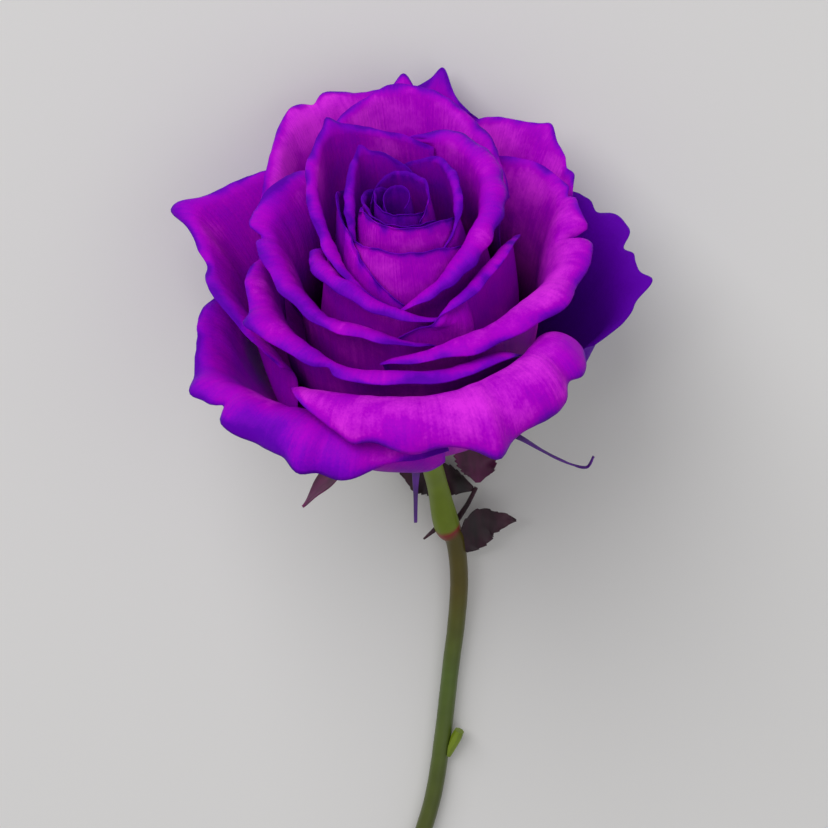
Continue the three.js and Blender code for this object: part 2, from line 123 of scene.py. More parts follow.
def blur(values: np.ndarray, passes: int) -> np.ndarray:
    """Soften a grid of numbers by averaging neighbours."""
    for _ in range(passes):
        padded = np.pad(values, 1, mode="edge")
        values = (padded[1:-1, 1:-1] * 4 + padded[:-2, 1:-1] * 2 + padded[2:, 1:-1] * 2
                  + padded[1:-1, :-2] * 2 + padded[1:-1, 2:] * 2) / 12
    return values


def spread_highest(values: np.ndarray, passes: int) -> np.ndarray:
    """Let each cell take the highest of its neighbours."""
    for _ in range(passes):
        padded = np.pad(values, 1, mode="edge")
        values = np.maximum.reduce([padded[1:-1, 1:-1], padded[:-2, 1:-1], padded[2:, 1:-1],
                                    padded[1:-1, :-2], padded[1:-1, 2:]])
    return values


def smoothstep(low: float, high: float, x: np.ndarray) -> np.ndarray:
    """Ease from 0 at low to 1 at high."""
    t = np.clip((x - low) / (high - low), 0, 1)
    return t * t * (3 - 2 * t)


# ---- sheets ----
def grid_normals(grid: np.ndarray) -> np.ndarray:
    """Unit normals of a (columns, rows, 3) grid."""
    across = np.gradient(grid, axis=0)
    along = np.gradient(grid, axis=1)
    normal = np.cross(across, along)
    return normal / np.maximum(np.linalg.norm(normal, axis=2, keepdims=True), 1e-9)


def sheet_object(name: str, grid: np.ndarray, thickness: np.ndarray,
                 masks: dict[str, np.ndarray]) -> bpy.types.Object:
    """Closed thin sheet around a grid of points in the row frame.

    Args:
        name: The object's name.
        grid: Shape (columns, rows, 3), metres.
        thickness: Shape (columns, rows), metres.
        masks: Numbers stored on the points, each of shape (columns, rows).

    Returns:
        The linked object.
    """
    columns, rows, _ = grid.shape
    offset = grid_normals(grid) * thickness[..., None] / 2
    points = np.concatenate([(grid + offset).reshape(-1, 3), (grid - offset).reshape(-1, 3)])
    index = np.arange(columns * rows).reshape(columns, rows)
    back = index + columns * rows
    quads = [np.stack([index[:-1, :-1], index[1:, :-1], index[1:, 1:], index[:-1, 1:]], -1).reshape(-1, 4),
             np.stack([back[:-1, :-1], back[:-1, 1:], back[1:, 1:], back[1:, :-1]], -1).reshape(-1, 4)]
    for edge, under, flip in ((index[:, 0], back[:, 0], True), (index[:, -1], back[:, -1], False),
                              (index[0], back[0], False), (index[-1], back[-1], True)):
        strip = np.stack([edge[:-1], edge[1:], under[1:], under[:-1]], -1)
        quads.append(strip[:, ::-1] if flip else strip)
    faces = np.concatenate(quads)
    mesh = bpy.data.meshes.new(name)
    mesh.from_pydata(points.tolist(), [], faces.tolist())
    mesh.shade_smooth()
    u, v = np.meshgrid(np.linspace(0, 1, columns), np.linspace(0, 1, rows), indexing="ij")
    corner = np.stack([u.ravel(), v.ravel()], -1)[faces.ravel() % (columns * rows)]
    layer = mesh.uv_layers.new(name="UVMap")
    layer.data.foreach_set("uv", corner.astype(np.float32).ravel())
    for label, values in masks.items():
        attribute = mesh.attributes.new(label, "FLOAT", "POINT")
        attribute.data.foreach_set("value", np.concatenate([values.ravel()] * 2).astype(np.float32))
    piece = bpy.data.objects.new(name, mesh)
    bpy.context.scene.collection.objects.link(piece)
    return piece


def edge_distance(grid: np.ndarray) -> np.ndarray:
    """Distance of each grid point from the sheet's sides and rim, measured along its lines."""
    across = np.cumsum(np.pad(np.linalg.norm(np.diff(grid, axis=0), axis=2), [(1, 0), (0, 0)]), axis=0)
    along = np.cumsum(np.pad(np.linalg.norm(np.diff(grid, axis=1), axis=2), [(0, 0), (1, 0)]), axis=1)
    sides = np.minimum(across, across[-1:] - across)
    return np.minimum(sides, along[:, -1:] - along)


# ---- petals ----
@dataclass(frozen=True)
class Petal:
    """One petal, given by its rim.

    Attributes:
        name: CAD node it stands for.
        lean: Rise of the sheet at its rim, degrees; over 90 it leans in over the heart.
        belly: Radius half way up.
        claw: Width at the base as a share of the width at the rim.
        rim: Stations of azimuth, radius, height, lip length and lip turn.
        tint: How violet its face is.
        lip_tint: How much more violet its rolled lip is.
        ruffle: Size of the waves along its rim.
        tears: Notches in the rim, as azimuth, width and depth; a negative depth is a point that sticks out.
    """

    name: str
    lean: float
    belly: float
    claw: float
    rim: tuple[Station, ...]
    tint: Tint = Tint.CLEAR
    lip_tint: float = 0.15
    ruffle: float = 0.5
    tears: tuple[tuple[float, float, float], ...] = ()

    def shape(self, order: int, columns: int = 120, body_rows: int = 42,
              lip_rows: int = 20) -> tuple[np.ndarray, np.ndarray, np.ndarray]:
        """Middle surface of the petal in the bloom frame.

        Args:
            order: Place in the spiral, 0 at the heart.
            columns: Points across.
            body_rows: Points from base to rim.
            lip_rows: Points along the rolled lip.

        Returns:
            Points of shape (columns, rows, 3) in millimetres, and each row's share of the lip and of the
            height.
        """
        rng = np.random.default_rng(SHAPE_SEED + order)
        azimuth, radius, height, lip, turn = blend_rows(np.array(self.rim), columns).T
        middle = (self.rim[0][0] + self.rim[-1][0]) / 2
        around = np.radians(azimuth)
        radius = radius + 0.45 * self.ruffle * ripple(around, rng, 6, 4, 13)
        height = height + 0.45 * self.ruffle * ripple(around, rng, 6, 5, 16)
        lip = np.maximum(lip, 0.25) * (1 + 0.12 * ripple(around, rng, 6, 9, 24))
        lip = lip + 0.12 * self.ruffle * ripple(around, rng, 8, 40, 110)
        for bearing, width, depth in self.tears:
            lip = lip * (1 - depth * np.exp(-(((azimuth - bearing) / width) ** 2)))
        turn = turn + 9 * self.ruffle * ripple(around, rng, 6, 8, 26)
        base_radius, base_height = BASE_RADIUS + BASE_STEP * order, BASE_HEIGHT - BASE_DROP * order
        rise = math.radians(self.lean)
        pull = PULL * (height - base_height)
        second = np.stack([radius - pull * math.cos(rise), height - pull * math.sin(rise)], -1)
        through_belly = (8 * self.belly - base_radius - 3 * second[:, 0] - radius) / 3
        first_radius = np.maximum(through_belly, base_radius + 1)
        first = np.stack([first_radius, base_height + 0.1 * (height - base_height)], -1)
        foot = np.tile([base_radius, base_height], (columns, 1))
        rim = np.stack([radius, height], -1)
        v = np.linspace(0, 1, body_rows)[None, :, None]
        profile = ((1 - v) ** 3 * foot[:, None] + 3 * (1 - v) ** 2 * v * first[:, None]
                   + 3 * (1 - v) * v**2 * second[:, None] + v**3 * rim[:, None])
        s = (np.arange(lip_rows) + 0.5) / lip_rows
        angle = rise - np.radians(turn)[:, None] * s[None, :] ** 1.2
        step = (lip / lip_rows)[:, None, None] * np.stack([np.cos(angle), np.sin(angle)], -1)
        profile = np.concatenate([profile, rim[:, None] + np.cumsum(step, axis=1)], axis=1)
        up = np.concatenate([v[0, :, 0], np.ones(lip_rows)])
        spread = self.claw + (1 - self.claw) * np.clip(up / 0.6, 0, 1) ** 0.8
        bearing = np.radians(middle + (azimuth[:, None] - middle) * spread[None, :])
        out, height = profile[..., 0], profile[..., 1]
        grid = np.stack([out * np.cos(bearing), out * np.sin(bearing), height], -1)
        grid = grid + grid_normals(grid) * self.pleats(around, up, rng)[..., None]
        return grid, np.concatenate([np.zeros(body_rows), (np.arange(lip_rows) + 1) / lip_rows]), up

    def pleats(self, around: np.ndarray, up: np.ndarray, rng: np.random.Generator) -> np.ndarray:
        """Soft lengthwise folds that deepen toward the rim, millimetres along the sheet's normal."""
        slow = ripple(around, rng, 5, 5, 14)[:, None] * smoothstep(0.25, 0.9, up)[None, :]
        fine = np.stack([ripple(around + 0.04 * k, np.random.default_rng(PLEAT_SEED), 7, 22, 60)
                         for k in up * 6], -1)
        return self.ruffle * (0.45 * slow + 0.16 * fine * smoothstep(0.35, 1, up)[None, :])


@dataclass
class Crowding:
    """How wide the petals laid so far stand, by bearing and by distance from the bloom's foot."""

    bearings: int = 360
    reaches: int = 130
    longest: float = 97.0
    foot: tuple[float, float, float] = (0.0, 0.0, -3.0)
    widest: np.ndarray = field(init=False)

    def __post_init__(self) -> None:
        """Start with nothing laid."""
        self.widest = np.zeros((self.bearings, self.reaches))

    def polar(self, grid: np.ndarray) -> tuple[np.ndarray, np.ndarray, np.ndarray]:
        """Bearing, distance and angle off the axis of each point."""
        arm = grid - np.array(self.foot)
        reach = np.linalg.norm(arm, axis=-1)
        bearing = np.arctan2(arm[..., 1], arm[..., 0]) % (2 * math.pi)
        return bearing, reach, np.arccos(np.clip(arm[..., 2] / reach, -1, 1))

    def cells(self, bearing: np.ndarray, reach: np.ndarray) -> tuple[np.ndarray, np.ndarray]:
        """Whole-number cell of each bearing and distance."""
        column = np.floor(bearing / (2 * math.pi) * self.bearings).astype(int) % self.bearings
        row = np.clip((reach / self.longest * self.reaches).astype(int), 0, self.reaches - 1)
        return column, row

    def look(self, bearing: np.ndarray, reach: np.ndarray) -> np.ndarray:
        """Widest angle laid so far, blended between cells."""
        x = bearing / (2 * math.pi) * self.bearings - 0.5
        y = np.clip(reach / self.longest * self.reaches - 0.5, 0, self.reaches - 1.001)
        i, j = np.floor(x).astype(int), y.astype(int)
        fx, fy = x - i, y - j
        i0, i1 = i % self.bearings, (i + 1) % self.bearings
        return ((1 - fx) * (1 - fy) * self.widest[i0, j] + fx * (1 - fy) * self.widest[i1, j]
                + (1 - fx) * fy * self.widest[i0, j + 1] + fx * fy * self.widest[i1, j + 1])

    def make_room(self, grid: np.ndarray, gap: float) -> np.ndarray:
        """Open a petal outward wherever it would cut through one laid before it.

        Args:
            grid: The petal's middle surface.
            gap: Distance to keep, millimetres.

        Returns:
            The moved grid.
        """
        bearing, reach, angle = self.polar(grid)
        room = gap * smoothstep(2, 30, reach) + 0.12
        taken = self.look(bearing, reach)
        short = np.maximum(taken + room / reach - angle, 0) * (taken > 0)
        push = blur(spread_highest(short, 2), 6)
        angle = angle + np.maximum(push, short)
        arm = np.stack([np.sin(angle) * np.cos(bearing), np.sin(angle) * np.sin(bearing), np.cos(angle)], -1)
        return np.array(self.foot) + arm * reach[..., None]

    def lay(self, grid: np.ndarray) -> None:
        """Record a petal that is in place."""
        for axis in (0, 1):
            count = grid.shape[axis]
            middle = (grid.take(range(1, count), axis) + grid.take(range(count - 1), axis)) / 2
            both = np.concatenate([grid, middle], axis)
            order = np.argsort(np.concatenate([np.arange(count), np.arange(count - 1) + 0.5]))
            grid = both.take(order, axis)
        bearing, reach, angle = self.polar(grid)
        column, row = self.cells(bearing, reach)
        for dc in (-1, 0, 1):
            np.maximum.at(self.widest, ((column + dc) % self.bearings, row), angle)


PETALS: tuple[Petal, ...] = (
    Petal("petal_core_1", 96, 3.6, 1, (
        (-60, 2, 55.5, 0.6, 20), (20, 2.6, 57.5, 0.8, 30), (100, 3, 58, 0.8, 30),
        (180, 3.2, 56.5, 0.8, 20), (240, 3.2, 53, 0.4, 10),
    ), Tint.DEEP, 0.3, 0.15),
    Petal("petal_core_2", 98, 4.8, 1, (
        (80, 4, 54, 0.6, 20), (150, 5, 58, 1, 50), (215, 4.6, 56.5, 1, 50), (285, 4.6, 56, 1, 50),
        (350, 5.5, 53.5, 0.6, 20),
    ), Tint.DEEP, 0.3, 0.25),
    Petal("petal_core_3", 100, 6.2, 0.9, (
        (-50, 6, 53.5, 0.8, 30), (10, 6.6, 57.5, 1.2, 70), (60, 6.4, 58.5, 1.2, 70), (110, 6.6, 58, 1, 50),
        (160, 6.4, 54.5, 0.6, 20),
    ), Tint.FULL, 0.3, 0.3),
    Petal("petal_core_4", 102, 7.6, 0.85, (
        (120, 8, 54.5, 0.8, 30), (170, 7.4, 57, 1.5, 80), (220, 7, 56, 1.5, 80), (270, 7.6, 55.5, 1.2, 60),
        (320, 8.4, 54, 0.8, 30), (350, 8.6, 50.5, 0.6, 20),
    ), Tint.FULL, 0.3, 0.3),
    Petal("petal_bud_front", 106, 10.5, 0.7, (
        (160, 7.8, 53, 1, 20), (195, 8, 56.5, 1.2, 40), (240, 8.8, 56.5, 1.2, 40), (285, 9.8, 56, 1.2, 40),
        (320, 11.2, 55, 1.2, 30), (345, 12, 52, 1, 20),
    ), Tint.CLEAR, 0.3, 0.3),
    Petal("petal_bud_left", 92, 10.8, 0.7, (
        (50, 7.5, 56, 1, 20), (80, 9.5, 58.5, 1, 30), (115, 14.5, 59.5, 1.5, 40), (130, 12.5, 59, 2.5, 90),
        (150, 10.5, 57, 3, 130), (180, 10, 54, 3, 140), (205, 11, 50, 1.5, 60),
    ), Tint.FULL, 0.3, 0.35, ((116, 4, -0.9),)),
    Petal("petal_bud_right", 94, 12, 0.7, (
        (-55, 12.5, 48.5, 1.5, 60), (-25, 12, 52.5, 2.5, 130), (0, 12, 55.5, 3, 150),
        (25, 12.5, 57.5, 2.5, 130), (45, 13, 58.5, 1.5, 60), (70, 11, 57.5, 1, 40),
        (95, 10.5, 55.5, 1, 20),
    ), Tint.FULL, 0.3, 0.35),
    Petal("petal_heart_front", 106, 15.5, 0.6, (
        (200, 12, 50.5, 1, 20), (235, 12.5, 52.5, 1.2, 30), (265, 13, 52, 1.5, 30),
        (295, 13.5, 51, 1.5, 30), (320, 15, 49.5, 1, 30), (345, 16, 44.5, 1, 20),
    ), Tint.CLEAR, 0.3, 0.4),
    Petal("petal_heart_left", 98, 16, 0.6, (
        (140, 14.5, 53, 1, 20), (165, 13.5, 56, 1.5, 50), (190, 12.5, 53.5, 1.5, 50),
        (215, 12.5, 51, 1.5, 40), (240, 15, 47, 1, 30), (265, 18, 42, 1, 30),
    ), Tint.FULL, 0.3, 0.3),
    Petal("petal_cup_left", 84, 18.5, 0.5, (
        (60, 18, 55.5, 1.5, 20), (95, 20, 58, 2, 50), (120, 24, 59.5, 3, 70), (140, 21, 58.5, 3.5, 100),
        (165, 17.5, 56, 4, 120), (190, 16, 51, 4, 120), (225, 16, 45.5, 3.5, 100),
        (260, 18.5, 41, 1.5, 30),
    ), Tint.CLEAR, 0.3, 0.5, ((120, 3, -0.6),)),
    Petal("petal_cup_right", 80, 20, 0.5, (
        (-100, 19, 41.5, 2.5, 80), (-65, 16, 46, 6.5, 150), (-35, 16, 50.5, 8, 160),
        (-5, 17.5, 54, 8, 160), (15, 18.5, 55.5, 8, 160), (45, 19.5, 57, 5, 110), (65, 19, 57, 3, 70),
        (90, 18.5, 55, 1.5, 30),
    ), Tint.CLEAR, 0.3, 0.4),
    Petal("petal_fold_front", 90, 21.5, 0.5, (
        (180, 17, 44, 2, 80), (190, 18, 46, 4.5, 120), (205, 18, 46.5, 7, 150), (230, 18, 45.5, 7, 150),
        (260, 20, 42.5, 6, 140), (280, 22, 40.5, 4, 100), (300, 23.5, 37, 1.5, 40),
    ), Tint.CLEAR, 0.35, 0.4),
    Petal("petal_fold_right", 92, 22.5, 0.5, (
        (260, 23.5, 37, 1.5, 30), (290, 21.5, 42, 5, 120), (315, 20.5, 44, 6, 130),
        (335, 21.5, 45, 5.5, 110), (350, 23, 43, 4.5, 90), (360, 23.5, 39.5, 3, 50),
    ), Tint.CLEAR, 0.2, 0.4),
    Petal("petal_wing_left", 62, 24, 0.5, (
        (120, 25, 46.5, 1.5, 20), (135, 26, 49, 4, 50), (150, 26.5, 49, 5.5, 60),
        (168, 27.5, 47.5, 7.5, 85), (185, 26.5, 46, 6, 85), (205, 25.5, 44, 5.5, 95),
        (230, 25, 42, 5.5, 100), (250, 24.5, 40.5, 5, 95), (270, 25, 38, 3, 60), (280, 25, 35.5, 1.5, 30),
    ), Tint.CLEAR, 0.35, 0.8, ((174, 2, 0.35),)),
    Petal("petal_top_inner", 60, 24.5, 0.5, (
        (20, 25, 45, 1.5, 30), (40, 26.5, 50, 4, 80), (60, 30, 54.5, 4, 80), (75, 34, 57, 3, 60),
        (90, 34.5, 56.5, 3, 50), (110, 29.5, 55, 3, 50), (130, 27, 49, 1.5, 20),
    ), Tint.BRIGHT, 0.3, 0.8),
    Petal("petal_wing_right", 58, 27, 0.5, (
        (-105, 30, 37, 2, 50), (-90, 29, 38.5, 5, 90), (-75, 28.5, 39.5, 7.5, 100),
        (-50, 29.5, 40, 9.5, 110), (-30, 31.5, 40, 10.5, 110), (-10, 33, 40.5, 9.5, 100),
        (5, 34, 42, 7, 80), (20, 36, 43, 4, 60), (30, 35.5, 44, 3, 40), (45, 30, 45.5, 2, 20),
        (55, 28, 44, 1.5, 20),
    ), Tint.BRIGHT, 0.15, 0.8, ((-4, 1.5, 0.8), (14, 2, 0.35))),
    Petal("petal_front_left", 64, 28.5, 0.5, (
        (170, 30, 40.5, 2, 40), (185, 31, 40.5, 5, 75), (205, 31.5, 39.5, 8, 95), (225, 32, 38.5, 8, 100),
        (240, 33, 37.5, 5.5, 100), (255, 33, 37, 6.5, 100), (285, 33, 36, 6.5, 95),
        (300, 33.5, 35, 5.5, 80), (310, 34, 31, 2, 40),
    ), Tint.CLEAR, 0.25, 0.7, ((237, 3, 0.5), (206, 4, -0.3))),
    Petal("petal_top_left", 56, 30.5, 0.5, (
        (70, 36, 45, 2, 20), (80, 39, 50, 4, 40), (95, 40, 51, 4, 60), (115, 40, 51.5, 6, 60),
        (125, 38.5, 51, 5, 70), (140, 33.5, 48.5, 4, 70), (155, 32, 44, 2, 30),
    ), Tint.BRIGHT, 0.15, 0.9, ((84, 2.5, -0.9), (112, 3, 0.4))),
    Petal("petal_top_right", 52, 31.5, 0.5, (
        (10, 35, 33, 2, 20), (20, 39, 38, 3, 30), (30, 43, 40.5, 3, 30), (42, 45, 42, 3, 40),
        (52, 43.5, 43.5, 3, 30), (65, 40.5, 43, 2, 20), (80, 38, 39, 2, 20),
    ), Tint.BRIGHT, 0.15, 0.9, ((42, 3, -0.6), (30, 2.5, 0.5))),
    Petal("petal_top_point", 52, 33, 0.5, (
        (45, 38, 35, 2, 20), (60, 41, 43, 2, 20), (68, 43.5, 46, 2, 20), (74, 47, 49, 2.5, 20),
        (82, 45, 47.5, 2.5, 25), (95, 43.5, 44, 2, 25), (115, 39.5, 35, 2, 20),
    ), Tint.FULL, 0.4, 0.8, ((74, 2, -0.9),)),
    Petal("petal_outer_left", 50, 34, 0.5, (
        (120, 34, 41.5, 2, 20), (135, 37, 45, 3, 40), (147, 43, 43.5, 3.5, 50), (156, 48, 42.5, 4, 110),
        (165, 44, 40.5, 4, 70), (175, 41.5, 38.5, 4, 70), (190, 38, 36.5, 4, 60), (205, 35.5, 33, 3, 40),
        (215, 34.5, 30, 2, 30),
    ), Tint.CLEAR, 0.35, 0.7, ((156, 3, -1.2), (172, 3, 0.4))),
    Petal("petal_outer_front", 52, 34, 0.5, (
        (225, 38, 31.5, 2, 40), (235, 39, 34, 7, 80), (250, 38.5, 35, 14, 120), (270, 39, 35.5, 19, 130),
        (285, 39.5, 36, 21, 135), (300, 39, 36.5, 21, 135), (310, 38, 36.5, 18, 125),
        (318, 36.5, 34.5, 13, 110), (326, 35.5, 29, 4, 60),
    ), Tint.BRIGHT, 0.15, 0.9, ((252, 3, -0.12), (284, 3, -0.15), (308, 2.5, 0.15))),
    Petal("petal_outer_lower_left", 42, 36, 0.5, (
        (160, 37, 26, 2, 20), (175, 41.5, 30, 3, 25), (190, 45, 31, 4, 40), (205, 46.5, 30, 7, 80),
        (220, 44, 29.5, 12, 105), (235, 41, 29.5, 16, 110), (250, 39, 29, 18, 110),
        (265, 40.5, 27.5, 11, 100), (275, 42, 24.5, 5, 60),
    ), Tint.CLEAR, 0.55, 0.9, ((206, 3, -0.4), (214, 2, 0.35), (240, 3, -0.2))),
    Petal("petal_outer_right", 34, 37, 0.5, (
        (-16, 39, 16.5, 2, 20), (-8, 45, 19, 3, 25), (0, 47.5, 21.5, 4, 30), (8, 48, 24, 4, 30),
        (18, 49, 26, 4, 30), (28, 48, 27, 3, 30), (38, 46, 27, 2.5, 30), (45, 41, 24, 2, 20),
    ), Tint.VIOLET, 0.1, 1, ((0, 2.5, -0.9), (12, 2, 0.6), (26, 2.5, 0.6))),
    Petal("petal_back_right", 44, 33.5, 0.5, (
        (30, 37, 21, 2, 20), (40, 42, 28, 3, 30), (51, 46.4, 32, 3, 40), (62, 48.4, 33.4, 3, 40),
        (74, 44, 31, 3, 30), (96, 36, 25, 2, 20),
    ), Tint.DEEP, 0.2, 1),
    Petal("petal_back_left", 44, 34.5, 0.5, (
        (85, 36, 25, 2, 20), (106, 43.5, 31, 3, 30), (118, 47.8, 33.4, 3, 40), (129, 46.4, 32, 3, 40),
        (140, 42.5, 28, 3, 30), (150, 37, 21, 2, 20),
    ), Tint.DEEP, 0.2, 1),
)


@dataclass
class Bloom:
    """All the petals, in the order in which they wrap the heart.

    Attributes:
        seat: Where the middle of the receptacle is, and how the bloom is turned.
        thickness: Petal thickness, millimetres.
        gap: Distance between middle surfaces of neighbouring petals, millimetres.
    """

    seat: Matrix
    thickness: float = 0.42
    gap: float = 0.6

    def build(self, finishes: "Finishes") -> None:
        """Make every petal.

        Args:
            finishes: The rose's materials.
        """
        crowding = Crowding()
        for order, petal in enumerate(PETALS):
            grid, lip, up = petal.shape(order)
            grid = crowding.make_room(grid, self.gap)
            crowding.lay(grid)
            self.dress(petal, order, grid, lip, up, finishes)

    def dress(self, petal: Petal, order: int, grid: np.ndarray, lip: np.ndarray, up: np.ndarray,
              finishes: "Finishes") -> None:
        """Turn one petal's surface into a finished piece.

        Args:
            petal: Its description.
            order: Its place in the spiral.
            grid: Its middle surface.
            lip: Each row's share of the lip.
            up: Each row's share of the height.
            finishes: The rose's materials.
        """
        rng = np.random.default_rng(DYE_SEED + order)
        margin = edge_distance(grid)
        across = np.linspace(0, 9, grid.shape[0])
        width = 1.1 * (1.05 + 0.95 * ripple(across, rng, 7, 1, 6))[:, None]
        strength = np.clip(0.34 + 0.4 * ripple(across, rng, 7, 2, 9), 0.05, 0.65)[:, None]
        rim = strength * np.exp(-((margin / np.maximum(width, 0.3)) ** 2))
        patches = ripple(across, rng, 6, 1, 5)[:, None]
        run = petal.lip_tint * (lip[None, :] ** 1.3) * (0.7 + 0.9 * patches)
        violet = np.clip(petal.tint.value + run + rim, 0, 1)
        # Painted shade: the depth mask makes each petal's colour darker toward its foot, standing in for the
        # shade deep in the bloom.
        lowest, highest = INNER_PAINTED_SHADE if order < CLEAR_PETALS else OUTER_PAINTED_SHADE
        depth = np.ones_like(margin) * (1 - smoothstep(lowest, highest, up))[None, :]
        sheet = self.thickness * (0.45 + 0.55 * smoothstep(0, 1.6, margin))
        points = place(grid, self.seat)
        points[..., 2] = np.maximum(points[..., 2], self.thickness * MM)
        name = petal.name.replace("petal_", "bloom_")
        piece = sheet_object(name, points, sheet * MM, {"violet": violet, "depth": depth})
        piece.data.materials.append(finishes.petal)
        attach(piece, "root")
        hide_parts(petal.name)
        LOG.info("%s: %d faces", name, len(piece.data.polygons))


def place(points: np.ndarray, seat: Matrix) -> np.ndarray:
    """Points in the bloom frame, millimetres, moved to the row frame, metres."""
    turn = np.array(seat.to_3x3())
    return points * MM @ turn.T + np.array(seat.translation)


# ---- green parts ----
class Skin(Enum):
    """Skin of a sepal or a leaflet."""

    VIOLET = "sepal_violet"
    MAROON = "sepal_maroon"
    DARK = "leaf_dark"


@dataclass(frozen=True)
class Blade:
    """A sepal or leaflet, given by its centre line.

    Attributes:
        name: CAD node it stands for.
        line: Points of the centre line, millimetres.
        widths: Half widths along the line.
        facing: Which way its face looks.
        fold: How deep the fold along its middle is, as a share of the half width.
        teeth: Saw teeth along each margin.
        twist: Random waving of the blade, millimetres.
        skin: Its finish.
    """

    name: str
    line: tuple[tuple[float, float, float], ...]
    widths: tuple[float, ...]
    facing: tuple[float, float, float]
    fold: float = 0.18
    teeth: int = 0
    twist: float = 0.3
    skin: Skin = Skin.MAROON

    def shape(self, seed: int, columns: int = 25, rows: int = 90) -> tuple[np.ndarray, np.ndarray]:
        """Middle surface, and distance from the midrib as a share of the width.

        Args:
            seed: Seed of the waving.
            columns: Points across.
            rows: Points along.

        Returns:
            Points of shape (columns, rows, 3) and shares of shape (columns, rows).
        """
        rng = np.random.default_rng(seed)
        centre = blend_rows(np.array(self.line), rows)
        half = np.maximum(blend_rows(np.array(self.widths)[:, None], rows)[:, 0], 0.22)
        along = np.gradient(centre, axis=0)
        along /= np.linalg.norm(along, axis=1, keepdims=True)
        side = np.cross(along, np.array(self.facing))
        side /= np.linalg.norm(side, axis=1, keepdims=True)
        up = np.cross(side, along)
        t = np.linspace(-1, 1, columns)
        s = np.linspace(0, 1, rows)
        if self.teeth:
            saw = (s * self.teeth) % 1
            half = half * (1 + 0.13 * saw * smoothstep(0.06, 0.2, s) * smoothstep(1, 0.85, s))
        cupping = np.abs(t)[:, None] * ripple(s * 9, rng, 5, 1, 3)[None, :]
        tilting = 0.5 * t[:, None] * ripple(s * 9, rng, 5, 1, 2.5)[None, :]
        wave = self.twist * (cupping + tilting) * smoothstep(0, 0.3, s)
        lift = self.fold * half[None, :] * (t**2)[:, None] + wave
        reach = half[None, :] * t[:, None]
        grid = centre[None] + side[None] * reach[..., None] + up[None] * lift[..., None]
        return grid, np.abs(t)[:, None] * np.ones(rows)[None, :]


SEPALS: tuple[Blade, ...] = (
    Blade("sepal_front", ((-2.4, -7.5, -4.2), (-3.2, -10, -8), (-3.2, -9.4, -15), (-4, -7.6, -25),
                          (-5, -6, -38)),
          (2.6, 3.2, 1.3, 0.6, 0.35), (0, -1, 0.2), skin=Skin.VIOLET),
    Blade("sepal_right", ((5.6, -5.2, -4.2), (12, -10, -3.6), (21, -15, -5.5), (29, -17.5, -11),
                          (35, -18, -14), (37, -17.5, -11.5)),
          (2.6, 2.6, 0.9, 0.5, 0.4, 0.35), (0.2, 0.3, 1), skin=Skin.VIOLET),
    Blade("sepal_left", ((-5.8, -4.9, -4.2), (-12, -9.4, -4.4), (-18, -12.8, -7), (-24, -15.8, -11),
                         (-30, -18.5, -15)), (2.6, 4.2, 5, 4.2, 0.4), (-0.3, 0.3, 1)),
    Blade("sepal_back_right", ((4.4, 6.3, -4.2), (8.5, 10.4, -5.6), (13.5, 13, -8.6), (18, 14, -12.5),
                               (21, 14, -17)), (2.6, 3.8, 3.2, 1.6, 0.4), (0.2, -0.5, 1)),
    Blade("sepal_back_left", ((-4.4, 6.3, -4.2), (-9.5, 10.2, -5.4), (-15, 12, -8.6), (-19.5, 12.6, -13),
                              (-22, 12, -18)), (2.6, 3.8, 3.2, 1.6, 0.4), (-0.2, -0.5, 1)),
)

LEAF_AT = (2.2, -42.0, 5.0)
LEAFLETS: tuple[Blade, ...] = (
    Blade("leaflet_left", ((7.2, 6.8, -0.8), (3, 8.8, -1.4), (-1.5, 10.6, -2), (-5.5, 11.8, -2.4),
                           (-9.4, 12.8, -2.8)),
          (0.6, 3, 4.2, 4, 0.6), (0, 0, 1), 0.22, 11, 0.6, Skin.DARK),
    Blade("leaflet_middle", ((8.6, 8.6, 0), (9, 12, 0.4), (9, 16, 0.8), (9, 20.5, 1.4), (8.8, 25.5, 2)),
          (0.6, 3.4, 5, 4.6, 0.6), (0.15, 0, 1), 0.22, 12, 0.6),
    Blade("leaflet_right", ((3.2, -7.5, 1.4), (5, -5.2, 1.8), (8.5, -1.2, 2.2), (12, -0.6, 2.4),
                            (16.5, -1, 3.2)),
          (1.2, 3, 3.8, 2.4, 0.4), (0, 0, 1), 0.22, 9, 0.8, Skin.DARK),
)


def leaf_object(blade: Blade, points: np.ndarray, share: np.ndarray, material: bpy.types.Material) -> None:
    """Make a finished sepal or leaflet, thickest along its midrib.

    Args:
        blade: Its description.
        points: Its middle surface in the row frame, metres.
        share: Distance from the midrib as a share of the width.
        material: Its finish.
    """
    thickness = BLADE_THICKNESS * MM * (1.25 - 0.75 * share)
    piece = sheet_object(f"grown_{blade.name}", points, thickness, {})
    piece.data.materials.append(material)
    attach(piece, "root")
    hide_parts(blade.name)
    LOG.info("%s: %d faces", piece.name, len(piece.data.polygons))


